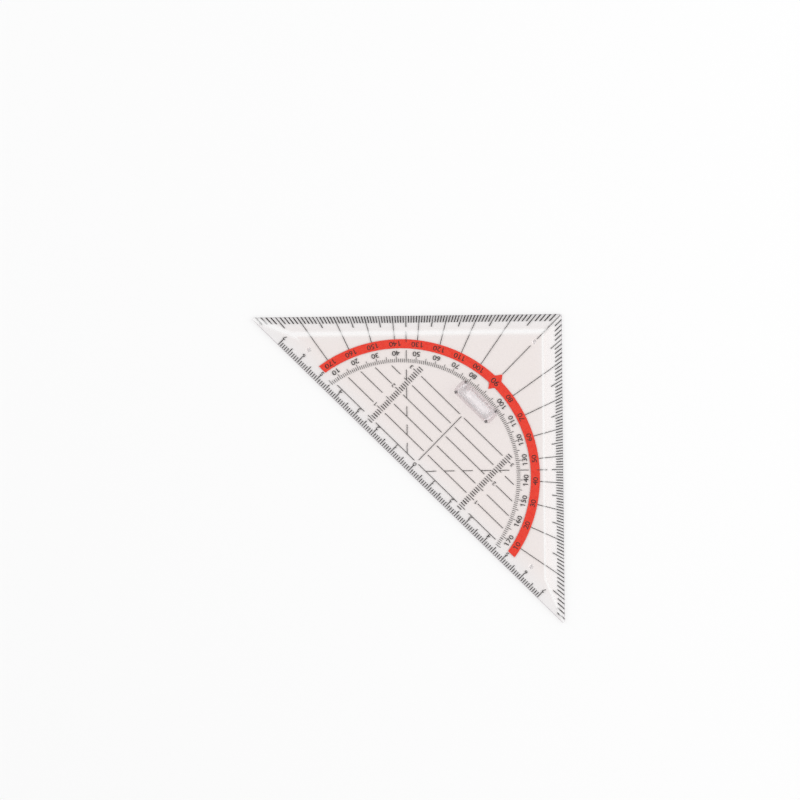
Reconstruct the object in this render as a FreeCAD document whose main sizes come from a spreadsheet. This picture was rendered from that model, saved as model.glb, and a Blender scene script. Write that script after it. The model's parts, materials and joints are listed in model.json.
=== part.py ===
"""A clear 45 degree set square with a lift-off finger grip, in millimetres.

The long ruling edge runs along X with the protractor's zero at the origin.
The square corner points along +Y. The printed underside is at z = 0, and three nubs hold it off the paper.
"""
import FreeCAD, Part
import math
import os
import Sketcher

SIZES = (
    ("half_span", "85", "from the zero to a sharp end of the long edge, and to the sharp square corner"),
    ("corner_radius", "0.5", "rounding of the three corners, seen from above"),
    ("land_height", "1.1", "height of the upright edge faces that a pencil runs along"),
    ("plate_height", "2.2", "height of the flat middle of the plate"),
    ("facet_run", "7", "how far each sloped edge reaches in from its upright face"),
    ("crown_radius", "0.6", "corner rounding of the flat middle"),
    ("nub_radius", "0.9", "radius of a nub where it leaves the underside"),
    ("nub_tip_radius", "0.55", "radius of a nub's flat tip"),
    ("nub_height", "0.4", "how far the nubs stand below the underside"),
    ("side_nub_out", "60", "from the centre line to each side nub"),
    ("side_nub_up", "7", "from the long edge to the side nubs"),
    ("apex_nub_up", "70", "from the long edge to the nub near the square corner"),
    ("seat_up", "37.7", "from the long edge to the middle of the grip"),
    ("foot_length", "19", "length of the grip's foot"),
    ("foot_width", "6.8", "width of the grip's foot"),
    ("seat_air", "0.05", "air between the plate and the grip's foot, which lies down on it"),
    ("foot_height", "1.1", "height of the grip's foot"),
    ("foot_radius", "1.9", "corner radius of the grip's foot"),
    ("foot_round", "0.3", "rounding of the foot's upper edge"),
    ("ridge_inset", "0.8", "step from the foot in to the ridge that rises from it"),
    ("ridge_end_flat", "0.6", "straight part of the ridge's end between its two corners"),
    ("crest_length", "11.6", "length of the ridge's flat crest, before its edge is rounded"),
    ("crest_width", "3.6", "width of the ridge's flat crest, before its edge is rounded"),
    ("crest_end_flat", "0.4", "straight part of the crest's end between its two corners"),
    ("crest_round", "0.9", "rounding of the crest's edge"),
    ("grip_height", "9", "height of the grip over its own foot's underside"),
    ("wall", "1.5", "thickness of the grip's foot around its hollow"),
    ("roof", "1.6", "thickness of the grip over its hollow"),
    ("hollow_radius", "0.55", "corner radius of the hollow"),
    ("hollow_top_length", "10", "length of the hollow under the roof"),
    ("hollow_top_width", "1.4", "width of the hollow under the roof"),
    ("peg_radius", "0.55", "radius of the four pegs"),
    ("peg_clearance", "0.05", "radial clearance of a peg in its hole"),
    ("peg_end_inset", "1.45", "from the foot's end to a peg's axis"),
    ("peg_side_inset", "0.78", "from the foot's side to a peg's axis"),
    ("peg_shy", "0.15", "how far the peg tips stay above the underside"),
    ("peg_lead", "0.15", "chamfer on the peg tips"),
)

PEG_X = "Sizes.foot_length / 2 - Sizes.peg_end_inset"
PEG_Y = "Sizes.foot_width / 2 - Sizes.peg_side_inset"
LEG_DISTANCE = "Sizes.half_span / sqrt(2)"
SAME_LEVEL = 1e-4

# A sketch numbers the points of a curve from 1, and its own axes down from -1.
START, END, CENTRE = range(1, 4)
ORIGIN = X_AXIS = -1
Y_AXIS = X_AXIS - 1


def make_sheet(doc):
    """Fills the spreadsheet: name, value and meaning, one size a row."""
    sheet = doc.addObject("Spreadsheet::Sheet", "Sizes")
    for row, (alias, value, meaning) in enumerate(SIZES, start=1):
        sheet.set(f"A{row}", alias)
        sheet.set(f"B{row}", value)
        sheet.set(f"C{row}", meaning)
        sheet.setAlias(f"B{row}", alias)
    doc.recompute()
    return sheet


def make_body(doc, label):
    """A body for one moulding, named as its file is."""
    body = doc.addObject("PartDesign::Body", label)
    body.Label = label
    return body


def make_sketch(body, name, rise=None, shift=None):
    """A sketch on the body's own XY plane. The expressions say how far it is lifted and moved along Y."""
    sketch = body.newObject("Sketcher::SketchObject", name)
    plane = [item for item in body.Origin.OriginFeatures if item.Role == "XY_Plane"][0]
    sketch.AttachmentSupport = [(plane, "")]
    sketch.MapMode = "FlatFace"
    if rise:
        sketch.setExpression("AttachmentOffset.Base.z", rise)
    if shift:
        sketch.setExpression("AttachmentOffset.Base.y", shift)
    return sketch


def bind(sketch, name, expression, *constraint):
    """Adds a dimension to the sketch and ties it to the spreadsheet."""
    index = sketch.addConstraint(Sketcher.Constraint(*constraint))
    sketch.renameConstraint(index, name)
    sketch.setExpression(f"Constraints.{name}", expression)


def rounded_outline(sketch, corners, radius, radius_expression):
    """Draws straight sides joined by tangent arcs. Side i leaves corner i, and the arcs follow the sides."""
    count = len(corners)
    entries = []
    leaves = []
    arcs = []
    for index, corner in enumerate(corners):
        back = (corners[index - 1] - corner).normalize()
        ahead = (corners[(index + 1) % count] - corner).normalize()
        half_angle = back.getAngle(ahead) / 2
        centre = corner + (back + ahead).normalize() * (radius / math.sin(half_angle))
        entries.append(corner + back * (radius / math.tan(half_angle)))
        leaves.append(corner + ahead * (radius / math.tan(half_angle)))
        first = math.atan2(entries[-1].y - centre.y, entries[-1].x - centre.x)
        turn = math.pi - 2 * half_angle
        circle = Part.Circle(centre, FreeCAD.Vector(0, 0, 1), radius)
        arcs.append(Part.ArcOfCircle(circle, first, first + turn))
    sides = [Part.LineSegment(leaves[index], entries[(index + 1) % count]) for index in range(count)]
    sketch.addGeometry(sides + arcs, False)
    for index in range(count):
        before = (index - 1) % count
        sketch.addConstraint(Sketcher.Constraint("Tangent", before, END, count + index, START))
        sketch.addConstraint(Sketcher.Constraint("Tangent", count + index, END, index, START))
    bind(sketch, "round", radius_expression, "Radius", count, radius)
    for index in range(1, count):
        sketch.addConstraint(Sketcher.Constraint("Equal", count, count + index))


def triangle_outline(sketch, sheet, inset, inset_expression, radius_alias):
    """The plate's triangle, drawn in from its edges by the inset. The square corner stays square."""
    leg_distance = sheet.half_span / math.sqrt(2) - inset
    apex = leg_distance * math.sqrt(2)
    corners = [
        FreeCAD.Vector(inset - apex, inset, 0),
        FreeCAD.Vector(apex - inset, inset, 0),
        FreeCAD.Vector(0, apex, 0),
    ]
    rounded_outline(sketch, corners, sheet.get(radius_alias), f"Sizes.{radius_alias}")
    leg_expression = f"{LEG_DISTANCE} - {inset_expression}" if inset_expression else LEG_DISTANCE
    sketch.addConstraint(Sketcher.Constraint("Horizontal", 0))
    if inset_expression:
        bind(sketch, "long_side", inset_expression, "DistanceY", ORIGIN, START, 0, START, inset)
    else:
        sketch.addConstraint(Sketcher.Constraint("PointOnObject", 0, START, X_AXIS))
    sketch.addConstraint(Sketcher.Constraint("Perpendicular", 1, 2))
    sketch.addConstraint(Sketcher.Constraint("PointOnObject", len(corners) + 2, CENTRE, Y_AXIS))
    bind(sketch, "right_leg", leg_expression, "Distance", ORIGIN, START, 1, leg_distance)
    bind(sketch, "left_leg", leg_expression, "Distance", ORIGIN, START, 2, leg_distance)


def oblong_outline(sketch, length, width, radius, length_expression, width_expression, radius_expression):
    """A rectangle with rounded corners about the sketch's own middle."""
    across = length / 2
    along = width / 2
    corners = [
        FreeCAD.Vector(-across, -along, 0),
        FreeCAD.Vector(across, -along, 0),
        FreeCAD.Vector(across, along, 0),
        FreeCAD.Vector(-across, along, 0),
    ]
    rounded_outline(sketch, corners, radius, radius_expression)
    for side, direction in enumerate(("Horizontal", "Vertical", "Horizontal", "Vertical")):
        sketch.addConstraint(Sketcher.Constraint(direction, side))
    arc = len(corners)
    middle = (ORIGIN, START)
    sketch.addConstraint(Sketcher.Constraint("Symmetric", arc, CENTRE, arc + 2, CENTRE, *middle))
    bind(sketch, "half_length", f"({length_expression}) / 2", "DistanceX", ORIGIN, START, 1, START, across)
    bind(sketch, "half_width", f"({width_expression}) / 2", "DistanceY", ORIGIN, START, 2, START, along)


def peg_circles(sketch, sheet, radius, radius_expression):
    """Four equal circles where the pegs stand, about the sketch's own middle."""
    out = sheet.foot_length / 2 - sheet.peg_end_inset
    up = sheet.foot_width / 2 - sheet.peg_side_inset
    for x, y in ((out, up), (-out, up), (out, -up), (-out, -up)):
        sketch.addGeometry(Part.Circle(FreeCAD.Vector(x, y, 0), FreeCAD.Vector(0, 0, 1), radius), False)
    sketch.addConstraint(Sketcher.Constraint("Symmetric", 0, CENTRE, 1, CENTRE, Y_AXIS))
    sketch.addConstraint(Sketcher.Constraint("Symmetric", 0, CENTRE, 2, CENTRE, X_AXIS))
    sketch.addConstraint(Sketcher.Constraint("Symmetric", 0, CENTRE, 3, CENTRE, ORIGIN, START))
    for index in (1, 2, 3):
        sketch.addConstraint(Sketcher.Constraint("Equal", 0, index))
    bind(sketch, "peg_round", radius_expression, "Radius", 0, radius)
    bind(sketch, "peg_out", PEG_X, "DistanceX", ORIGIN, START, 0, CENTRE, out)
    bind(sketch, "peg_up", PEG_Y, "DistanceY", ORIGIN, START, 0, CENTRE, up)


def edges_at(shape, height):
    """Names of the edges that lie wholly at one height."""
    found = []
    for number, edge in enumerate(shape.Edges, start=1):
        box = edge.BoundBox
        if abs(box.ZMin - height) < SAME_LEVEL and abs(box.ZMax - height) < SAME_LEVEL:
            found.append(f"Edge{number}")
    return found


def make_loft(body, kind, name, profile, section):
    """A straight-sided loft between two outlines with like sides."""
    loft = body.newObject(kind, name)
    loft.Profile = profile
    loft.Sections = [section]
    loft.Ruled = True
    body.Document.recompute()
    return loft


def add_nub(body, name, across, up):
    """A low round nub under the plate, tapering to a flat tip."""
    nub = body.newObject("PartDesign::AdditiveCone", name)
    plane = [item for item in body.Origin.OriginFeatures if item.Role == "XY_Plane"][0]
    nub.AttachmentSupport = [(plane, "")]
    nub.MapMode = "FlatFace"
    nub.setExpression("Radius1", "Sizes.nub_tip_radius")
    nub.setExpression("Radius2", "Sizes.nub_radius")
    nub.setExpression("Height", "Sizes.nub_height")
    nub.setExpression("AttachmentOffset.Base.x", across)
    nub.setExpression("AttachmentOffset.Base.y", up)
    nub.setExpression("AttachmentOffset.Base.z", "-Sizes.nub_height")
    body.Document.recompute()
    return nub


def make_plate(doc, sheet):
    """The clear triangle: upright edge faces, a sloped facet inside each, peg holes and nubs."""
    body = make_body(doc, "plate")
    rim = make_sketch(body, "rim_outline", rise="Sizes.land_height")
    triangle_outline(rim, sheet, 0, "", "corner_radius")
    crown = make_sketch(body, "crown_outline", rise="Sizes.plate_height")
    triangle_outline(crown, sheet, sheet.facet_run, "Sizes.facet_run", "crown_radius")
    doc.recompute()

    land = body.newObject("PartDesign::Pad", "land")
    land.Profile = rim
    land.Reversed = True
    land.setExpression("Length", "Sizes.land_height")
    doc.recompute()
    facets = make_loft(body, "PartDesign::AdditiveLoft", "facets", rim, crown)

    circles = make_sketch(body, "peg_hole_circles", shift="Sizes.seat_up")
    hole_radius = sheet.peg_radius + sheet.peg_clearance
    peg_circles(circles, sheet, hole_radius, "Sizes.peg_radius + Sizes.peg_clearance")
    holes = body.newObject("PartDesign::Pocket", "peg_holes")
    holes.Profile = circles
    holes.Type = "ThroughAll"
    holes.Reversed = True
    doc.recompute()
    drilled = facets.Shape.Volume - holes.Shape.Volume
    wanted = 4 * math.pi * hole_radius ** 2 * sheet.plate_height
    if abs(drilled - wanted) > wanted / 1000:
        raise RuntimeError(f"the peg holes took {drilled:.4f} mm3, not {wanted:.4f}")

    add_nub(body, "left_nub", "-Sizes.side_nub_out", "Sizes.side_nub_up")
    add_nub(body, "right_nub", "Sizes.side_nub_out", "Sizes.side_nub_up")
    add_nub(body, "apex_nub", "0", "Sizes.apex_nub_up")
    return body


def make_ridge(body, sheet):
    """The grip's outside: a low foot, and a ridge that tapers from it to a rounded crest."""
    foot_outline = make_sketch(body, "foot_outline")
    oblong_outline(foot_outline, sheet.foot_length, sheet.foot_width, sheet.foot_radius,
                   "Sizes.foot_length", "Sizes.foot_width", "Sizes.foot_radius")
    foot = body.newObject("PartDesign::Pad", "foot")
    foot.Profile = foot_outline
    foot.setExpression("Length", "Sizes.foot_height")
    body.Document.recompute()
    soft_foot = body.newObject("PartDesign::Fillet", "soft_foot")
    soft_foot.Base = (foot, edges_at(foot.Shape, sheet.foot_height))
    soft_foot.setExpression("Radius", "Sizes.foot_round")

    base = make_sketch(body, "ridge_outline", rise="Sizes.foot_height")
    step = 2 * sheet.ridge_inset
    width = sheet.foot_width - step
    oblong_outline(base, sheet.foot_length - step, width, (width - sheet.ridge_end_flat) / 2,
                   "Sizes.foot_length - 2 * Sizes.ridge_inset",
                   "Sizes.foot_width - 2 * Sizes.ridge_inset",
                   "(Sizes.foot_width - 2 * Sizes.ridge_inset - Sizes.ridge_end_flat) / 2")
    crest = make_sketch(body, "crest_outline", rise="Sizes.grip_height")
    oblong_outline(crest, sheet.crest_length, sheet.crest_width,
                   (sheet.crest_width - sheet.crest_end_flat) / 2,
                   "Sizes.crest_length", "Sizes.crest_width",
                   "(Sizes.crest_width - Sizes.crest_end_flat) / 2")
    body.Document.recompute()
    ridge = make_loft(body, "PartDesign::AdditiveLoft", "ridge", base, crest)

    rounded = body.newObject("PartDesign::Fillet", "rounded_crest")
    rounded.Base = (ridge, edges_at(ridge.Shape, sheet.grip_height))
    rounded.setExpression("Radius", "Sizes.crest_round")
    body.Document.recompute()
    return rounded


def make_grip(doc, sheet):
    """The clear grip: a hollow tapered ridge on a foot, with a peg under each corner of the foot."""
    body = make_body(doc, "grip")
    solid = make_ridge(body, sheet)

    mouth = make_sketch(body, "hollow_mouth")
    oblong_outline(mouth, sheet.foot_length - 2 * (sheet.wall + sheet.peg_end_inset - sheet.peg_radius),
                   sheet.foot_width - 2 * sheet.wall, sheet.hollow_radius,
                   "Sizes.foot_length - 2 * (Sizes.wall + Sizes.peg_end_inset - Sizes.peg_radius)",
                   "Sizes.foot_width - 2 * Sizes.wall", "Sizes.hollow_radius")
    top = make_sketch(body, "hollow_top", rise="Sizes.grip_height - Sizes.roof")
    oblong_outline(top, sheet.hollow_top_length, sheet.hollow_top_width, sheet.hollow_radius,
                   "Sizes.hollow_top_length", "Sizes.hollow_top_width", "Sizes.hollow_radius")
    doc.recompute()
    hollow = make_loft(body, "PartDesign::SubtractiveLoft", "hollow", mouth, top)
    least = sheet.hollow_top_length * sheet.hollow_top_width * sheet.foot_height
    if solid.Shape.Volume - hollow.Shape.Volume < least:
        raise RuntimeError("the grip's hollow took too little away")

    circles = make_sketch(body, "peg_circles")
    peg_circles(circles, sheet, sheet.peg_radius, "Sizes.peg_radius")
    pegs = body.newObject("PartDesign::Pad", "pegs")
    pegs.Profile = circles
    pegs.Reversed = True
    pegs.setExpression("Length", "Sizes.plate_height + Sizes.seat_air - Sizes.peg_shy")
    doc.recompute()

    tips = body.newObject("PartDesign::Chamfer", "peg_tips")
    tips.Base = (pegs, edges_at(pegs.Shape, sheet.peg_shy - sheet.plate_height - sheet.seat_air))
    tips.setExpression("Size", "Sizes.peg_lead")
    body.setExpression("Placement.Base.y", "Sizes.seat_up")
    body.setExpression("Placement.Base.z", "Sizes.plate_height + Sizes.seat_air")
    doc.recompute()
    return body


def check_model(doc, bodies):
    """Stops before anything is written if a feature failed or a moulding isn't one sound solid."""
    for item in doc.Objects:
        if "Invalid" in item.State or "Error" in item.State:
            raise RuntimeError(f"{item.Label} failed: {item.State}")
    for body in bodies:
        if body.Shape.isNull() or not body.Shape.isValid() or len(body.Shape.Solids) != 1:
            raise RuntimeError(f"{body.Label} isn't one sound solid")


def main():
    doc = FreeCAD.newDocument("set_square")
    sheet = make_sheet(doc)
    bodies = [make_plate(doc, sheet), make_grip(doc, sheet)]
    check_model(doc, bodies)
    os.makedirs("parts", exist_ok=True)
    for body in bodies:
        body.Shape.exportStep(f"parts/{body.Label}.step")
        box = body.Shape.BoundBox
        print(f"{body.Label}: {body.Shape.Volume:.2f} mm3, x {box.XMin:.2f}..{box.XMax:.2f},"
              f" y {box.YMin:.2f}..{box.YMax:.2f}, z {box.ZMin:.2f}..{box.ZMax:.2f}")


main()
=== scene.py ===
"""A clear 45 degree set square, its printed scales and its finger grip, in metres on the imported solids."""
import json
import math

import bpy
from mathutils import Matrix, Vector


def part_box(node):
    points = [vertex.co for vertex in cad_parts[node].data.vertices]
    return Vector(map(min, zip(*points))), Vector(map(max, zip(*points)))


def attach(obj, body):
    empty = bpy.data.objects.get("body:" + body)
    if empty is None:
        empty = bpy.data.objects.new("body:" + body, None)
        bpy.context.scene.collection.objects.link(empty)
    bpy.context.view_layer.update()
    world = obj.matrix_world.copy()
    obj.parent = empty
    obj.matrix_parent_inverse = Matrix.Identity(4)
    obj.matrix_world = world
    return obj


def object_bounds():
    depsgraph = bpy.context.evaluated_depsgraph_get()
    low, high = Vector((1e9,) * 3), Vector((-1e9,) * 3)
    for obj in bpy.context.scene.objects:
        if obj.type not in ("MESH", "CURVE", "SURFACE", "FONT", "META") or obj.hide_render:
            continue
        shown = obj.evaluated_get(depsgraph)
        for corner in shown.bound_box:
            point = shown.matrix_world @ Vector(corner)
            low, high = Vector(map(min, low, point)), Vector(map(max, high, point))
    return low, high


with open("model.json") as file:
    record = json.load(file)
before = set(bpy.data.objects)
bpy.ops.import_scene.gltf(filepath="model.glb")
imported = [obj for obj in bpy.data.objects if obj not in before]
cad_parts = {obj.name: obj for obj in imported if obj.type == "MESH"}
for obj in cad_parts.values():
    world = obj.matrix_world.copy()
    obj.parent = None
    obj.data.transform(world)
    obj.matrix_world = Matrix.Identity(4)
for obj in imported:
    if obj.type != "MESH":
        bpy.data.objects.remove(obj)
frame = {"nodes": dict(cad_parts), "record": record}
cad_low, cad_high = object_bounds()

# The plate is one injection moulding of clear styrene, polished in the tool.
# It takes a faint warm grey from its thickness, most in its flat middle. The softly rounded creases of its
# legs and mitres carry a painted highlight, its edges a painted dark line, and its nubs and peg holes painted
# shade. Handling leaves fine scuffs on it, and the mould a slight ripple.
MM = 0.001


def add_node(tree, kind, **values):
    """A shader node with its plain inputs set by name."""
    node = tree.nodes.new(kind)
    for name, value in values.items():
        node.inputs[name.replace("_", " ")].default_value = value
    return node


def work_out(tree, operation, *terms):
    """The result of a Math node on plain numbers or other results."""
    node = tree.nodes.new("ShaderNodeMath")
    node.operation = operation
    for place, term in enumerate(terms):
        if isinstance(term, (int, float)):
            node.inputs[place].default_value = term
        else:
            tree.links.new(term, node.inputs[place])
    return node.outputs["Value"]


def fade(tree, value, start, end, low, high):
    """Turns a result from one range into another, smoothly at both ends."""
    node = add_node(tree, "ShaderNodeMapRange", From_Min=start, From_Max=end, To_Min=low, To_Max=high)
    node.interpolation_type = "SMOOTHSTEP"
    tree.links.new(value, node.inputs["Value"])
    return node.outputs["Result"]


def blend_colour(tree, share, first, second):
    """Mixes two colours, either of them plain or the result of another node."""
    node = tree.nodes.new("ShaderNodeMix")
    node.data_type = "RGBA"
    tree.links.new(share, node.inputs["Factor"])
    for name, colour in (("A", first), ("B", second)):
        socket = next(item for item in node.inputs if item.name == name and item.type == "RGBA")
        if isinstance(colour, tuple):
            socket.default_value = (*colour, 1)
        else:
            tree.links.new(colour, socket)
    return next(item for item in node.outputs if item.type == "RGBA")


def pattern_place(tree):
    """A point's place in the piece's own coordinates."""
    return tree.nodes.new("ShaderNodeTexCoord").outputs["Object"]


def split_place(tree, place):
    """A place's three coordinates, one by one."""
    parted = tree.nodes.new("ShaderNodeSeparateXYZ")
    tree.links.new(place, parted.inputs["Vector"])
    return parted.outputs["X"], parted.outputs["Y"], parted.outputs["Z"]


hairline_turn = math.radians(31)
hairline_scale = (300, 4200, 900)
hairline_faint = 0.55
hairline_full = 0.78


def scuff_roughness(tree, place, smooth, scuffed):
    """Fine hairlines that lie one way, as a cloth or a pocket leaves them."""
    stretch = add_node(tree, "ShaderNodeMapping", Rotation=(0, 0, hairline_turn), Scale=hairline_scale)
    hairlines = add_node(tree, "ShaderNodeTexNoise", Scale=1, Detail=2, Roughness=0.6)
    tree.links.new(place, stretch.inputs["Vector"])
    tree.links.new(stretch.outputs["Vector"], hairlines.inputs["Vector"])
    return fade(tree, hairlines.outputs["Fac"], hairline_faint, hairline_full, smooth, scuffed)


ripple_strength = 0.5


def flow_ripple(tree, place, scale, depth):
    """The low swells that cooling leaves in a moulded face."""
    ripple = add_node(tree, "ShaderNodeTexNoise", Scale=scale, Detail=1)
    relief = add_node(tree, "ShaderNodeBump", Strength=ripple_strength, Distance=depth)
    tree.links.new(place, ripple.inputs["Vector"])
    tree.links.new(ripple.outputs["Fac"], relief.inputs["Height"])
    return relief.outputs["Normal"]


plastic_index = 1.5
grazing_blend = 0.35


def clear_body(material, colour, roughness, normal, passes_straight, passes_grazing):
    """Clear plastic that lamps shine through, less where they graze it. Returns its shader."""
    tree = material.node_tree
    links = tree.links
    body = add_node(tree, "ShaderNodeBsdfPrincipled", IOR=plastic_index, Transmission_Weight=1)
    links.new(colour, body.inputs["Base Color"])
    links.new(roughness, body.inputs["Roughness"])
    links.new(normal, body.inputs["Normal"])
    facing = add_node(tree, "ShaderNodeLayerWeight", Blend=grazing_blend).outputs["Facing"]
    window = tree.nodes.new("ShaderNodeBsdfTransparent")
    links.new(blend_colour(tree, facing, passes_straight, passes_grazing), window.inputs["Color"])
    path = tree.nodes.new("ShaderNodeLightPath")
    lamp_side = work_out(tree, "MAXIMUM", path.outputs["Is Shadow Ray"], path.outputs["Is Diffuse Ray"])
    mix = tree.nodes.new("ShaderNodeMixShader")
    links.new(lamp_side, mix.inputs["Fac"])
    links.new(body.outputs["BSDF"], mix.inputs[1])
    links.new(window.outputs["BSDF"], mix.inputs[2])
    output = tree.nodes.new("ShaderNodeOutputMaterial")
    links.new(mix.outputs["Shader"], output.inputs["Surface"])
    return body


def start_material(name):
    """A material with an empty tree."""
    material = bpy.data.materials.new(name)
    material.use_nodes = True
    material.node_tree.nodes.clear()
    return material


mounts = {mount["name"]: mount["pos_m"] for mount in frame["record"]["mounts"]}
leg_middle = mounts["right_leg_edge"]
half_span = leg_middle[0] + leg_middle[1]
facet_run = 7 * MM
sharp_corner = math.radians(45)
mitre_share = 0.5 / math.cos(sharp_corner / 2)
highlight_width = 1.35 * MM
highlight_width_side = 0.55 * MM
highlight_lean = 0.45 * MM
crease_low = 1 * MM
end_sharpness = 2


def near_crease(tree, across, up, height, from_leg, inset):
    """The share of the painted crease highlight at a point of the upper side, from 1 on a leg's crease or a
    mitre to 0 past its width.

    The painted highlight of the left leg is the wider one and lies a little nearer to its leg, that of the
    right leg a little further in. How far off a mitre a point lies follows from its distances to the two
    edges that meet there.
    """
    side = work_out(tree, "SIGN", across)
    crown_line = work_out(tree, "MULTIPLY_ADD", side, highlight_lean, facet_run)
    width = work_out(tree, "MULTIPLY_ADD", side, -highlight_width_side, highlight_width)
    off_crown = work_out(tree, "ABSOLUTE", work_out(tree, "SUBTRACT", from_leg, crown_line))
    past_corner = work_out(tree, "MAXIMUM", work_out(tree, "SUBTRACT", facet_run, up), 0)
    off_crown = work_out(tree, "ADD", off_crown, work_out(tree, "MULTIPLY", past_corner, end_sharpness))
    off_mitre = work_out(tree, "ABSOLUTE", work_out(tree, "SUBTRACT", from_leg, up))
    off_mitre = work_out(tree, "MULTIPLY", off_mitre, mitre_share)
    past_facet = work_out(tree, "MAXIMUM", work_out(tree, "SUBTRACT", inset, facet_run), 0)
    off_mitre = work_out(tree, "ADD", off_mitre, work_out(tree, "MULTIPLY", past_facet, end_sharpness))
    off_crease = work_out(tree, "MINIMUM", off_crown, off_mitre)
    crease_highlight = fade(tree, work_out(tree, "DIVIDE", off_crease, width), 0, 1, 1, 0)
    return work_out(tree, "MULTIPLY", crease_highlight, work_out(tree, "GREATER_THAN", height, crease_low))


grip_low, grip_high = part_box("grip")
peg_end_inset = 1.45 * MM
peg_side_inset = 0.78 * MM
peg_out = (grip_high.x - grip_low.x) / 2 - peg_end_inset
peg_row_up = (grip_high.y + grip_low.y) / 2
peg_row_half = (grip_high.y - grip_low.y) / 2 - peg_side_inset
hole_wall_radius = 0.62 * MM


def near_peg_hole(tree, aside, up):
    """1 on the wall of a peg hole, and 0 away from it."""
    hole_across = work_out(tree, "SUBTRACT", aside, peg_out)
    hole_up = work_out(tree, "ABSOLUTE", work_out(tree, "SUBTRACT", up, peg_row_up))
    hole_up = work_out(tree, "SUBTRACT", hole_up, peg_row_half)
    up_squared = work_out(tree, "MULTIPLY", hole_up, hole_up)
    from_hole = work_out(tree, "SQRT", work_out(tree, "MULTIPLY_ADD", hole_across, hole_across, up_squared))
    return work_out(tree, "LESS_THAN", from_hole, hole_wall_radius)


thin_tint = (1, 0.995, 1)
thick_tint = (1, 0.93, 0.905)
thick_inset = 1.6 * facet_run
thick_share = 0.8
plate_cloud_scale = 45
plate_cloud_share = 0.3
rim_width = 0.4 * MM
# A painted dark line, a painted shade, along the plate's outermost edge.
rim_painted_shade = (0.55, 0.5, 0.54)
nub_root = -0.1 * MM
# The nubs are painted greyer, a painted shade for the ring they show.
nub_painted_shade = (0.6, 0.58, 0.59)
nub_roughness = 0.5
# The creases and mitres get a painted highlight: white, and less clear than the rest.
crease_painted_highlight = (1, 1, 1)
crease_highlight_clear_share = 0.5
# The walls of the peg holes are painted dark, a painted shade.
hole_painted_shade = (0.22, 0.19, 0.19)
plate_polish = 0.015
plate_scuff = 0.09
plate_ripple_scale = 28
plate_ripple_depth = 0.01 * MM
plate_passes_straight = (1, 0.995, 0.995)
plate_passes_grazing = (0.72, 0.71, 0.71)


def plate_plastic():
    """The plate's clear plastic, coloured by how far a point lies in from the nearest of the three edges."""
    material = start_material("clear_plate")
    tree = material.node_tree
    place = pattern_place(tree)
    across, up, height = split_place(tree, place)
    aside = work_out(tree, "ABSOLUTE", across)
    reach = work_out(tree, "ADD", aside, up)
    from_leg = work_out(tree, "MULTIPLY", work_out(tree, "SUBTRACT", half_span, reach), math.sqrt(0.5))
    inset = work_out(tree, "MINIMUM", from_leg, up)

    cloud = add_node(tree, "ShaderNodeTexNoise", Scale=plate_cloud_scale, Detail=3, Roughness=0.55)
    tree.links.new(place, cloud.inputs["Vector"])
    depth = fade(tree, inset, 0, thick_inset, 0, thick_share)
    cloudiness = work_out(tree, "MULTIPLY", cloud.outputs["Fac"], plate_cloud_share)
    tint = blend_colour(tree, work_out(tree, "ADD", depth, cloudiness), thin_tint, thick_tint)
    # The outermost edge of the plate is painted darker, a painted shade.
    tint = blend_colour(tree, fade(tree, inset, 0, rim_width, 1, 0), tint, rim_painted_shade)
    nub = fade(tree, height, nub_root, 0, 1, 0)
    # Painted shade on the nubs.
    tint = blend_colour(tree, nub, tint, nub_painted_shade)
    # A painted highlight along the leg creases and the mitres.
    crease_highlight = near_crease(tree, across, up, height, from_leg, inset)
    tint = blend_colour(tree, crease_highlight, tint, crease_painted_highlight)
    # Painted shade in the peg holes.
    tint = blend_colour(tree, near_peg_hole(tree, aside, up), tint, hole_painted_shade)

    scuffs = scuff_roughness(tree, place, plate_polish, plate_scuff)
    roughness = work_out(tree, "MULTIPLY_ADD", nub, nub_roughness, scuffs)
    ripple = flow_ripple(tree, place, plate_ripple_scale, plate_ripple_depth)
    body = clear_body(material, tint, roughness, ripple, plate_passes_straight, plate_passes_grazing)
    # The painted highlight also makes the plate less clear along the creases.
    tree.links.new(fade(tree, crease_highlight, 0, 1, 1, crease_highlight_clear_share), body.inputs["Transmission Weight"])
    return material


def dress(node, material):
    """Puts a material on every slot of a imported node."""
    for slot in node.material_slots:
        slot.material = material


dress(frame["nodes"]["plate"], plate_plastic())

# The grip is a small hollow moulding of the same clear plastic, pressed into the plate by four pegs.
# Its walls taper, so it looks a little milkier than the plate, and fingers have worn its crest. Its crest is
# also painted lighter, a painted highlight.
# The tips of the pegs are painted near black, a painted shade for the dark dots that the pegs show through
# it.
seat_air = 0.05 * MM
foot_height = 1.1 * MM
foot_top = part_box("plate")[1].z + seat_air + foot_height
ridge_milky = 5.6 * MM
ridge_clear_share = 0.5
grip_top = grip_high.z
grip_cloud_scale = 160
grip_pale_tint = (0.85, 0.81, 0.82)
grip_dark_tint = (0.76, 0.72, 0.74)
crest_start = grip_top - 2.5 * MM
crest_full = grip_top - 0.5 * MM
# The crest is painted lighter, a painted highlight.
crest_painted_highlight = (0.9, 0.86, 0.87)
tip_top = 0.3 * MM
tip_blend = 0.15 * MM
# The peg tips are painted near black, a painted shade.
peg_tip_painted_shade = (0.02, 0.015, 0.014)
worn_start = grip_top - 0.8 * MM
worn_roughness = 0.12
grip_polish = 0.3
grip_scuff = 0.42
grip_ripple_scale = 90
grip_ripple_depth = 0.008 * MM
grip_passes_straight = (0.99, 0.985, 0.985)
grip_passes_grazing = (0.9, 0.89, 0.9)


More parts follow.
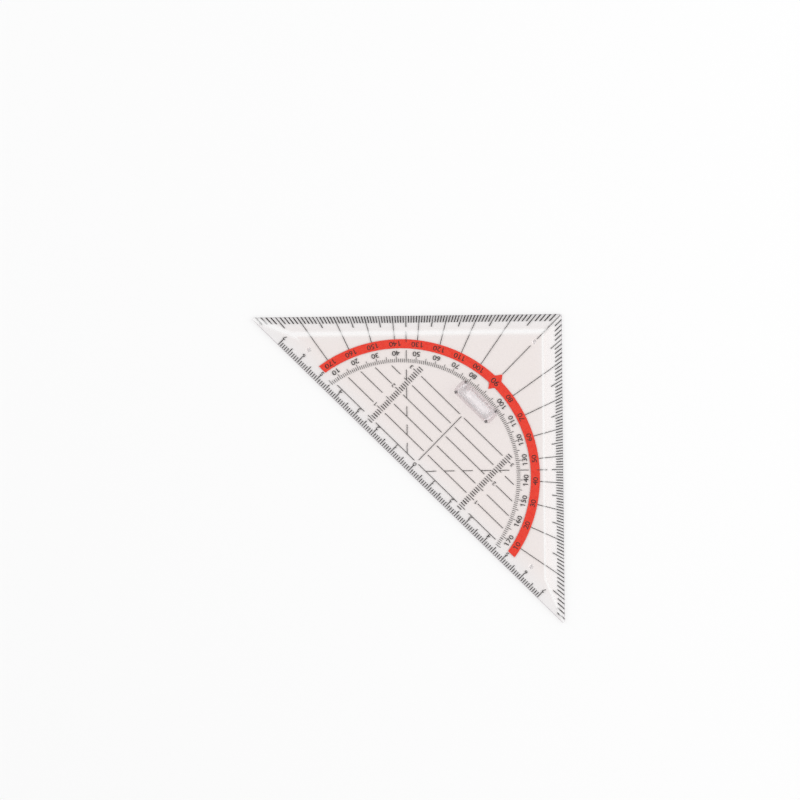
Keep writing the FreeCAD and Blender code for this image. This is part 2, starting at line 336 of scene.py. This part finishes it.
def grip_plastic():
    """The grip's plastic: clear in the foot, milkier up the ridge, with painted shade at its peg tips, and
    rubbed and painted lighter as a highlight on its crest.
    """
    material = start_material("clear_grip")
    tree = material.node_tree
    place = pattern_place(tree)
    height = split_place(tree, place)[2]
    cloud = add_node(tree, "ShaderNodeTexNoise", Scale=grip_cloud_scale, Detail=3, Roughness=0.6)
    tree.links.new(place, cloud.inputs["Vector"])
    tint = blend_colour(tree, cloud.outputs["Fac"], grip_pale_tint, grip_dark_tint)
    # A painted highlight on the crest.
    tint = blend_colour(tree, fade(tree, height, crest_start, crest_full, 0, 1), tint, crest_painted_highlight)
    # Painted shade at the peg tips.
    tint = blend_colour(tree, fade(tree, height, tip_top, tip_top + tip_blend, 1, 0), tint, peg_tip_painted_shade)
    worn = fade(tree, height, worn_start, grip_top, 0, worn_roughness)
    roughness = work_out(tree, "ADD", scuff_roughness(tree, place, grip_polish, grip_scuff), worn)
    ripple = flow_ripple(tree, place, grip_ripple_scale, grip_ripple_depth)
    body = clear_body(material, tint, roughness, ripple, grip_passes_straight, grip_passes_grazing)
    clearness = fade(tree, height, foot_top, ridge_milky, 1, ridge_clear_share)
    tree.links.new(clearness, body.inputs["Transmission Weight"])
    return material


dress(frame["nodes"]["grip"], grip_plastic())

# The scales are screen printed on the underside of the plate in a black ink, and lie within its lowest skin.
# The long edge has a line a millimetre, longer at five and ten, running both ways from the zero.
ink_density_scale = 900
ink_grain_scale = 6000
ink_grain_strength = 0.15
ink_grain_depth = 0.002 * MM
ink_shine = 0.1
ink_sparse = 0.3
ink_dense = 0.7
ink_gloss_swing = 0.08
black_thin = (0.022, 0.015, 0.013)
black_thick = (0.007, 0.005, 0.005)
black_roughness = 0.45


def printing_ink(name, thin, thick, roughness):
    """Opaque ink whose density and gloss vary a little, with the fine grain that the screen leaves."""
    material = start_material(name)
    tree = material.node_tree
    links = tree.links
    place = pattern_place(tree)
    density = add_node(tree, "ShaderNodeTexNoise", Scale=ink_density_scale, Detail=4, Roughness=0.65)
    grain = add_node(tree, "ShaderNodeTexNoise", Scale=ink_grain_scale, Detail=1)
    relief = add_node(tree, "ShaderNodeBump", Strength=ink_grain_strength, Distance=ink_grain_depth)
    body = add_node(tree, "ShaderNodeBsdfPrincipled", Specular_IOR_Level=ink_shine)
    output = tree.nodes.new("ShaderNodeOutputMaterial")
    links.new(place, density.inputs["Vector"])
    links.new(place, grain.inputs["Vector"])
    links.new(grain.outputs["Fac"], relief.inputs["Height"])
    thickness = fade(tree, density.outputs["Fac"], ink_sparse, ink_dense, 0, 1)
    links.new(blend_colour(tree, thickness, thin, thick), body.inputs["Base Color"])
    glossy = roughness - ink_gloss_swing
    dull = roughness + ink_gloss_swing
    gloss = fade(tree, density.outputs["Fac"], ink_sparse, ink_dense, glossy, dull)
    links.new(gloss, body.inputs["Roughness"])
    links.new(relief.outputs["Normal"], body.inputs["Normal"])
    links.new(body.outputs["BSDF"], output.inputs["Surface"])
    return material


print_level = 0.035 * MM
print_depth = 0.02 * MM
stroke_clip_share = 0.2


def model_stroke(width):
    """The pattern for all printed lines of a width: a thin slab a millimetre long with clipped corners."""
    bpy.ops.object.select_all(action="DESELECT")
    bpy.ops.mesh.primitive_plane_add(size=MM, location=(0, MM / 2, print_level))
    stroke = bpy.context.object
    stroke.scale.x = width / MM
    bpy.ops.object.transform_apply(location=True, rotation=True, scale=True)
    bpy.ops.object.mode_set(mode="EDIT")
    bpy.ops.mesh.select_all(action="SELECT")
    bpy.ops.mesh.bevel(offset=width * stroke_clip_share, segments=1, affect="VERTICES")
    bpy.ops.mesh.select_all(action="SELECT")
    bpy.ops.mesh.extrude_region_move(TRANSFORM_OT_translate={"value": (0, 0, print_depth)})
    bpy.ops.mesh.select_all(action="SELECT")
    bpy.ops.mesh.normals_make_consistent(inside=False)
    bpy.ops.object.mode_set(mode="OBJECT")
    return stroke


def copy_mesh(pattern):
    """A copy of a modelled piece with a mesh of its own."""
    piece = pattern.copy()
    piece.data = pattern.data.copy()
    bpy.context.scene.collection.objects.link(piece)
    return piece


def lay_stroke(pattern, start, end):
    """Lays a copy of the pattern line from start to end. Moving only its far end keeps its corners' shape."""
    run = Vector(end) - Vector(start)
    piece = copy_mesh(pattern)
    for vertex in piece.data.vertices:
        if vertex.co.y > MM / 2:
            vertex.co.y += run.length - MM
    turn = math.atan2(run.y, run.x) - math.pi / 2
    piece.data.transform(Matrix.Translation((*start, 0)) @ Matrix.Rotation(turn, 4, "Z"))
    return piece


def join_print(name, pieces, material):
    """Joins copies into one printed piece on the plate, with its place in its mesh."""
    bpy.ops.object.select_all(action="DESELECT")
    for piece in pieces:
        piece.select_set(True)
    bpy.context.view_layer.objects.active = pieces[0]
    bpy.ops.object.join()
    joined = bpy.context.object
    joined.name = joined.data.name = name
    joined.data.materials.clear()
    joined.data.materials.append(material)
    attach(joined, "plate")
    return joined


tick_line = 0.33 * MM
ruler_reach = 70
ruler_start = 0.25 * MM
ruler_ends = {1: 2.1 * MM, 5: 3.0 * MM, 10: 3.3 * MM}

black_ink = printing_ink("black_screen_ink", black_thin, black_thick, black_roughness)
tick = model_stroke(tick_line)
ruler_lines = []
for millimetre in range(-ruler_reach, ruler_reach + 1):
    step = max(size for size in ruler_ends if millimetre % size == 0)
    across = millimetre * MM
    ruler_lines.append(lay_stroke(tick, (across, ruler_start), (across, ruler_ends[step])))
join_print("ruler_lines", ruler_lines, black_ink)

# The centimetres are numbered 7 to 0 to 7 in a plain upright type, with its tops towards the long edge.
# Each figure is cut once for the whole instrument, as a type founder would, and set from those cuts.
CM = 10 * MM
figure_advance_share = 0.8
figure_widening_share = 1.2
figure_weight = 0.006
figure_weld = figure_weight / 100
figure_curve_steps = 3
figure_half_depth = 0.5


def cut_figure(figure):
    """One figure as a solid of unit height and depth, emboldened, and centred on its own middle."""
    bpy.ops.object.select_all(action="DESELECT")
    bpy.ops.object.text_add(location=(0, 0, 0))
    text = bpy.context.object
    text.data.body = figure
    text.data.align_x = "CENTER"
    text.data.resolution_u = figure_curve_steps
    text.data.extrude = figure_half_depth
    bpy.ops.object.convert(target="MESH")
    cut = bpy.context.object
    bpy.ops.object.mode_set(mode="EDIT")
    bpy.ops.mesh.select_all(action="SELECT")
    bpy.ops.mesh.remove_doubles(threshold=figure_weld)
    bpy.ops.mesh.normals_make_consistent(inside=False)
    bpy.ops.transform.shrink_fatten(value=figure_weight, use_even_offset=True)
    bpy.ops.object.mode_set(mode="OBJECT")
    low = Vector([min(vertex.co[axis] for vertex in cut.data.vertices) for axis in range(3)])
    span = Vector([max(vertex.co[axis] for vertex in cut.data.vertices) for axis in range(3)]) - low
    size = Matrix.Diagonal((figure_widening_share / span.y, 1 / span.y, 1 / span.z, 1))
    cut.data.transform(size @ Matrix.Translation((-low.x - span.x / 2, -low.y - span.y / 2, -low.z)))
    return cut


stem_share = 0.18
flag_run_share = 0.24
flag_drop_share = 0.15


def cut_one():
    """The figure 1, a plain stem with a flag drawn out from its top to the left, at the same unit height."""
    bpy.ops.object.select_all(action="DESELECT")
    bpy.ops.mesh.primitive_plane_add(size=1, location=(0, 0, 0))
    cut = bpy.context.object
    cut.scale.x = stem_share
    bpy.ops.object.transform_apply(location=True, rotation=True, scale=True)
    bpy.ops.object.mode_set(mode="EDIT")
    bpy.ops.mesh.select_all(action="SELECT")
    bpy.ops.mesh.bisect(plane_co=(0, 1 / 2 - flag_drop_share, 0), plane_no=(0, 1, 0))
    bpy.ops.mesh.select_mode(type="VERT")
    bpy.ops.mesh.select_all(action="DESELECT")
    bpy.ops.object.mode_set(mode="OBJECT")
    for vertex in cut.data.vertices:
        vertex.select = vertex.co.x < 0 and vertex.co.y > 0
    bpy.ops.object.mode_set(mode="EDIT")
    flag = (-flag_run_share, -flag_drop_share, 0)
    bpy.ops.mesh.extrude_region_move(TRANSFORM_OT_translate={"value": flag})
    bpy.ops.mesh.select_all(action="SELECT")
    bpy.ops.mesh.extrude_region_move(TRANSFORM_OT_translate={"value": (0, 0, 1)})
    bpy.ops.mesh.select_all(action="SELECT")
    bpy.ops.mesh.normals_make_consistent(inside=False)
    bpy.ops.object.mode_set(mode="OBJECT")
    return cut


figures = {figure: cut_figure(figure) for figure in "023456789"}
figures["1"] = cut_one()


def set_number(number, middle, up, height):
    """Sets a number in a row centred on middle, with its tops towards up. Returns its figures."""
    up = Vector(up).normalized()
    right = Vector((up.y, -up.x))
    advance = height * figure_advance_share
    turn = Matrix(((right.x, up.x, 0, 0), (right.y, up.y, 0, 0), (0, 0, 1, 0), (0, 0, 0, 1)))
    size = Matrix.Diagonal((height, height, print_depth, 1))
    row = []
    for index, figure in enumerate(number):
        shift = right * advance * (index - (len(number) - 1) / 2)
        piece = copy_mesh(figures[figure])
        place = Matrix.Translation((middle[0] + shift.x, middle[1] + shift.y, print_level))
        piece.data.transform(place @ turn @ size)
        row.append(piece)
    return row


ruler_figure_height = 1.55 * MM
ruler_figure_middle = 4.02 * MM
last_centimetre = ruler_reach // 10

ruler_figures = []
for centimetre in range(-last_centimetre, last_centimetre + 1):
    place = (centimetre * CM, ruler_figure_middle)
    ruler_figures += set_number(str(abs(centimetre)), place, (0, -1), ruler_figure_height)
join_print("ruler_figures", ruler_figures, black_ink)

# Both legs carry the protractor's outer scale: a line a degree, all pointing at the zero on the long edge.
# They are cut off square to the leg at one depth, and the fives between the tens are finer and deeper.
leg_distance = half_span / math.sqrt(2)
leg_margin = 0.06 * MM
degree_line = 0.41 * MM
degree_depth = 2.7 * MM
fifth_depth = 4.4 * MM
spare_depths = 4
leg_degrees = (range(1, 90), range(91, 180))


def heading(degrees):
    """The direction of an angle on the protractor, from the long edge's right half."""
    return Vector((math.cos(math.radians(degrees)), math.sin(math.radians(degrees))))


def reach_along(away, distance):
    """How far from the zero, in this direction, the line is that runs parallel to a leg at this distance."""
    return distance * math.sqrt(2) / (abs(away.x) + away.y)


def cut_lines(lines, distance, outward):
    """Cuts a group of lines off square to a leg, on its inner side or its outer."""
    side = Vector((math.copysign(1, lines.data.vertices[0].co.x), 1, 0)).normalized()
    bpy.ops.object.select_all(action="DESELECT")
    bpy.context.view_layer.objects.active = lines
    lines.select_set(True)
    bpy.ops.object.mode_set(mode="EDIT")
    bpy.ops.mesh.select_all(action="SELECT")
    bpy.ops.mesh.bisect(plane_co=side * distance, plane_no=side, use_fill=True,
                        clear_outer=outward, clear_inner=not outward)
    bpy.ops.object.mode_set(mode="OBJECT")


def lay_rays(stroke, degrees, depth):
    """The lines of some degrees on one leg, laid past both their ends and then cut off."""
    rays = []
    for degree in degrees:
        away = heading(degree)
        to_leg = reach_along(away, leg_distance)
        rays.append(lay_stroke(stroke, away * (to_leg - spare_depths * depth), away * (to_leg + depth)))
    group = join_print("leg_rays", rays, black_ink)
    cut_lines(group, leg_distance - leg_margin, True)
    cut_lines(group, leg_distance - depth, False)
    return group


bold = model_stroke(degree_line)
leg_lines = []
for degrees in leg_degrees:
    leg_lines.append(lay_rays(bold, [degree for degree in degrees if degree % 10 != 5], degree_depth))
    leg_lines.append(lay_rays(tick, [degree for degree in degrees if degree % 10 == 5], fifth_depth))
join_print("degree_lines", leg_lines, black_ink)

# A red band is printed after the black, in an arc about a point just outside the long edge.
# Its ends are cut along the edge, and a diamond on it marks the right angle.
band_level = 0.01 * MM
band_depth = 0.015 * MM
arc_centre = Vector((0, -3.55 * MM))
band_inner = 50.15 * MM
band_outer = 53.65 * MM
band_end_up = 5.2 * MM
band_steps = 180
band_weld = 0.001 * MM
diamond_low = 44.6 * MM
diamond_high = 52.4 * MM
diamond_half_width = 2.9 * MM
red_thin = (0.86, 0.05, 0.02)
red_thick = (0.78, 0.028, 0.012)
red_roughness = 0.5


def model_band():
    """The band, from a short radial edge spun round the arc's centre, cut off at its ends and thickened."""
    width = band_outer - band_inner
    bpy.ops.object.select_all(action="DESELECT")
    middle = (arc_centre.x + (band_inner + band_outer) / 2, arc_centre.y, band_level)
    bpy.ops.mesh.primitive_plane_add(size=width, location=middle)
    band = bpy.context.object
    bpy.ops.object.transform_apply(location=True, rotation=True, scale=True)
    bpy.ops.object.mode_set(mode="EDIT")
    bpy.ops.mesh.select_mode(type="VERT")
    bpy.ops.mesh.select_all(action="DESELECT")
    bpy.ops.object.mode_set(mode="OBJECT")
    for vertex in band.data.vertices:
        vertex.select = vertex.co.y > arc_centre.y
    bpy.ops.object.mode_set(mode="EDIT")
    bpy.ops.mesh.delete(type="VERT")
    bpy.ops.mesh.select_all(action="SELECT")
    bpy.ops.transform.translate(value=(0, width / 2, 0))
    bpy.ops.mesh.spin(steps=band_steps, angle=-math.pi, center=(*arc_centre, band_level), axis=(0, 0, 1))
    bpy.ops.mesh.select_all(action="SELECT")
    bpy.ops.mesh.remove_doubles(threshold=band_weld)
    bpy.ops.mesh.bisect(plane_co=(0, band_end_up, 0), plane_no=(0, 1, 0), clear_inner=True)
    bpy.ops.mesh.select_all(action="SELECT")
    bpy.ops.mesh.extrude_region_move(TRANSFORM_OT_translate={"value": (0, 0, band_depth)})
    bpy.ops.mesh.select_all(action="SELECT")
    bpy.ops.mesh.normals_make_consistent(inside=False)
    bpy.ops.object.mode_set(mode="OBJECT")
    return band


def model_diamond():
    """The diamond, a square set on its corner and drawn out across the band."""
    bpy.ops.object.select_all(action="DESELECT")
    middle = (0, (diamond_low + diamond_high) / 2, band_level)
    bpy.ops.mesh.primitive_circle_add(vertices=4, radius=diamond_half_width, fill_type="NGON",
                                      location=middle)
    diamond = bpy.context.object
    diamond.scale.y = (diamond_high - diamond_low) / 2 / diamond_half_width
    bpy.ops.object.transform_apply(location=True, rotation=True, scale=True)
    bpy.ops.object.mode_set(mode="EDIT")
    bpy.ops.mesh.select_all(action="SELECT")
    bpy.ops.mesh.extrude_region_move(TRANSFORM_OT_translate={"value": (0, 0, band_depth)})
    bpy.ops.mesh.select_all(action="SELECT")
    bpy.ops.mesh.normals_make_consistent(inside=False)
    bpy.ops.object.mode_set(mode="OBJECT")
    return diamond


def unite(piece, other):
    """Makes one closed piece of two that overlap, and deletes the other."""
    bpy.ops.object.select_all(action="DESELECT")
    bpy.context.view_layer.objects.active = piece
    piece.select_set(True)
    change = piece.modifiers.new("unite", "BOOLEAN")
    change.operation = "UNION"
    change.solver = "EXACT"
    change.object = other
    bpy.ops.object.modifier_apply(modifier=change.name)
    bpy.data.objects.remove(other)


red_ink = printing_ink("red_screen_ink", red_thin, red_thick, red_roughness)
band = model_band()
unite(band, model_diamond())
join_print("protractor_band", [band], red_ink)

# The band is numbered every ten degrees from the right, the ninety larger on the diamond.
# Outside it a fine line runs on from each number to the leg, and the middle one is broken round a nub.
ten_degrees = range(10, 180, 10)
right_angle = 90
band_figure_height = 1.92 * MM
right_angle_figure_height = 2.2 * MM
band_figure_radius = (band_inner + band_outer) / 2
fine_line = 0.25 * MM
nub_gap = (68 * MM, 71.4 * MM)
apex_line_end = 84.4 * MM


def on_arc(degrees, radius):
    """The point where a line from the zero at this angle meets a circle about the arc's centre."""
    away = heading(degrees)
    along = away.dot(arc_centre)
    return away * (along + math.sqrt(radius ** 2 - arc_centre.length_squared + along ** 2))


band_figures = []
for degree in ten_degrees:
    height = right_angle_figure_height if degree == right_angle else band_figure_height
    place = on_arc(degree, band_figure_radius)
    band_figures += set_number(str(degree), place, -place, height)
join_print("band_figures", band_figures, black_ink)

fine = model_stroke(fine_line)
ten_degree_lines = []
for degree in ten_degrees:
    if degree == right_angle:
        ten_degree_lines.append(lay_stroke(fine, (0, diamond_high), (0, nub_gap[0])))
        ten_degree_lines.append(lay_stroke(fine, (0, nub_gap[1]), (0, apex_line_end)))
    else:
        away = heading(degree)
        end = away * reach_along(away, leg_distance - leg_margin)
        ten_degree_lines.append(lay_stroke(fine, on_arc(degree, band_outer), end))
join_print("ten_degree_lines", ten_degree_lines, black_ink)

# Inside the band runs a second ring of degree lines, from five to a hundred and seventy five.
# It is numbered from the left. Two of the grip's peg holes lie on it, and the lines there start past them.
ring_degrees = range(5, 176)
ring_line = 0.2 * MM
ring_radius = 44.7 * MM
ring_degree_length = 1.45 * MM
ring_fifth_length = 2.35 * MM
ring_figure_radius = 48.25 * MM
ring_figure_height = 1.88 * MM
outer_peg_up = peg_row_up + peg_row_half
bare_radius = 0.75 * MM


def past_peg_hole(degrees, start):
    """The start of a degree line, moved out along it where it would lie over a peg hole."""
    away = heading(degrees)
    hole = Vector((math.copysign(peg_out, away.x), outer_peg_up))
    aside = (hole - away * hole.dot(away)).length
    if aside > bare_radius:
        return start
    clear = hole.dot(away) + math.sqrt(bare_radius ** 2 - aside ** 2)
    return away * max(clear, start.length)


thin = model_stroke(ring_line)
ring_lines = []
for degree in ring_degrees:
    length = ring_degree_length if degree % 5 else ring_fifth_length
    start = past_peg_hole(degree, on_arc(degree, ring_radius))
    ring_lines.append(lay_stroke(thin, start, on_arc(degree, ring_radius + length)))
join_print("ring_lines", ring_lines, black_ink)

ring_figures = []
for degree in ten_degrees:
    if degree != right_angle:
        place = on_arc(degree, ring_figure_radius)
        ring_figures += set_number(str(2 * right_angle - degree), place, -place, ring_figure_height)
join_print("ring_figures", ring_figures, black_ink)

# Six lines parallel to the long edge, five millimetres apart, help to draw parallels.
# They are broken round the centre line and round the two height scales.
parallel_ends = {5: 42.8 * MM, 10: 41.8 * MM, 15: 40 * MM, 20: 37 * MM, 25: 33 * MM, 30: 26.4 * MM}
centre_gap = 1.1 * MM
scale_gap = (22 * MM, 28.2 * MM)
scale_crossing = (23 * MM, 26.2 * MM)
centre_line = (6.2 * MM, 29.8 * MM)

parallels = [lay_stroke(fine, (0, centre_line[0]), (0, centre_line[1]))]
for height, end in parallel_ends.items():
    for side in (-1, 1):
        runs = [(centre_gap, scale_gap[0]), scale_crossing]
        if end > scale_gap[1]:
            runs.append((scale_gap[1], end))
        for start, stop in runs:
            parallels.append(lay_stroke(fine, (side * start, height * MM), (side * stop, height * MM)))
join_print("parallel_lines", parallels, black_ink)

# Two short upright scales measure distance from the long edge in millimetres, up to 32.
# The parallels cross them at every fifth, and their centimetres are numbered on the outer side.
scale_inner = 23 * MM
scale_outer = 25.2 * MM
scale_span = range(4, 33)
numbered_centimetres = (1, 2, 3)
height_figure_out = 27.2 * MM
height_figure_height = 1.5 * MM

height_lines = []
height_figures = []
for side in (-1, 1):
    for millimetre in scale_span:
        if millimetre % 5:
            up = millimetre * MM
            height_lines.append(lay_stroke(tick, (side * scale_inner, up), (side * scale_outer, up)))
    for centimetre in numbered_centimetres:
        place = (side * height_figure_out, centimetre * CM)
        height_figures += set_number(str(centimetre), place, (0, -1), height_figure_height)
join_print("height_lines", height_lines, black_ink)
join_print("height_figures", height_figures, black_ink)

# Broken lines at 45 degrees leave the zero on both sides, a dash from each parallel and on towards the legs.
# They mark the directions square to the legs.
dash_starts = (5 * MM, 10 * MM, 15 * MM, 20 * MM, 25 * MM, 30.3 * MM, 35.3 * MM)
dash_reach = 2.85 * MM

dashes = []
for side in (-1, 1):
    for start in dash_starts:
        end = start + dash_reach
        dashes.append(lay_stroke(fine, (side * start, start), (side * end, end)))
join_print("diagonal_dashes", dashes, black_ink)

# The pattern lines and cut figures aren't printed themselves, so they are put away.
for pattern in (tick, bold, fine, thin, *figures.values()):
    bpy.data.objects.remove(pattern)

# The instrument lies on its nubs on a plain pale table, seen from a metre above and nearly straight down.
# The picture is turned so that the square corner points up and to the right.
table_size = 6
table_drop = 0.01 * MM
table_colour = (0.93, 0.93, 0.93, 1)
table_roughness = 0.9
table_shine = 0.1

bpy.ops.object.select_all(action="DESELECT")
bpy.ops.mesh.primitive_plane_add(size=table_size, location=(0, 0, cad_low.z - table_drop))
table = bpy.context.object
table.name = "table"
table_material = bpy.data.materials.new("pale_table")
table_material.use_nodes = True
table_body = table_material.node_tree.nodes["Principled BSDF"]
table_body.inputs["Base Color"].default_value = table_colour
table_body.inputs["Roughness"].default_value = table_roughness
table_body.inputs["Specular IOR Level"].default_value = table_shine
table.data.materials.append(table_material)

view_turn = math.radians(44.32)
view_tilt = math.radians(-1.5)
view_centre = Vector((-21.4 * MM, 17.68 * MM, 0))
view_width = 309.3 * MM
view_distance = 1000 * MM
sensor_width = 36

aim_turn = Matrix.Rotation(view_turn, 3, "Z") @ Matrix.Rotation(view_tilt, 3, "X")
camera_place = view_centre + aim_turn @ Vector((0, 0, view_distance))
bpy.ops.object.camera_add(location=camera_place, rotation=aim_turn.to_euler())
camera = bpy.context.object
camera.data.sensor_width = sensor_width
camera.data.lens = sensor_width * view_distance / view_width
bpy.context.scene.camera = camera

# A broad soft lamp hangs beyond the right leg and a weaker one beyond the left end of the long edge.
# An even pale room fills the rest. It gives less light than white walls would, but looks white to the
# eye and through clear plastic.
lamp_aim = Vector((0, 30 * MM, 0))


def hang_lamp(name, toward, tilt, distance, size, power):
    """A square soft lamp aimed at the instrument, tilted from straight up towards a side of the table."""
    lean = Vector((math.cos(toward) * math.sin(tilt), math.sin(toward) * math.sin(tilt), math.cos(tilt)))
    bpy.ops.object.light_add(type="AREA", location=lamp_aim + lean * distance)
    lamp = bpy.context.object
    lamp.name = name
    lamp.data.size = size
    lamp.data.energy = power
    lamp.rotation_euler = lean.to_track_quat("Z", "Y").to_euler()


hang_lamp("main_lamp", toward=math.radians(45), tilt=math.radians(38), distance=2.2, size=2.2, power=26)
hang_lamp("side_lamp", toward=math.radians(205), tilt=math.radians(50), distance=2.4, size=1.4, power=13)

room_light = 0.6
room_colour = (1, 1, 1, 1)
room = bpy.data.worlds.new("pale_room")
room.use_nodes = True
walls = room.node_tree
path = walls.nodes.new("ShaderNodeLightPath")
seen = work_out(walls, "MAXIMUM", path.outputs["Is Camera Ray"], path.outputs["Is Transmission Ray"])
walls.links.new(fade(walls, seen, 0, 1, room_light, 1), walls.nodes["Background"].inputs["Strength"])
walls.nodes["Background"].inputs["Color"].default_value = room_colour
bpy.context.scene.world = room
bpy.context.scene.view_settings.view_transform = "Standard"

# Light crosses a dozen faces of clear plastic on its way through the grip and the plate.
clear_bounces = 32
gloss_bounces = 16
bpy.context.scene.cycles.max_bounces = clear_bounces
bpy.context.scene.cycles.transmission_bounces = clear_bounces
bpy.context.scene.cycles.glossy_bounces = gloss_bounces
bpy.context.scene.cycles.transparent_max_bounces = clear_bounces
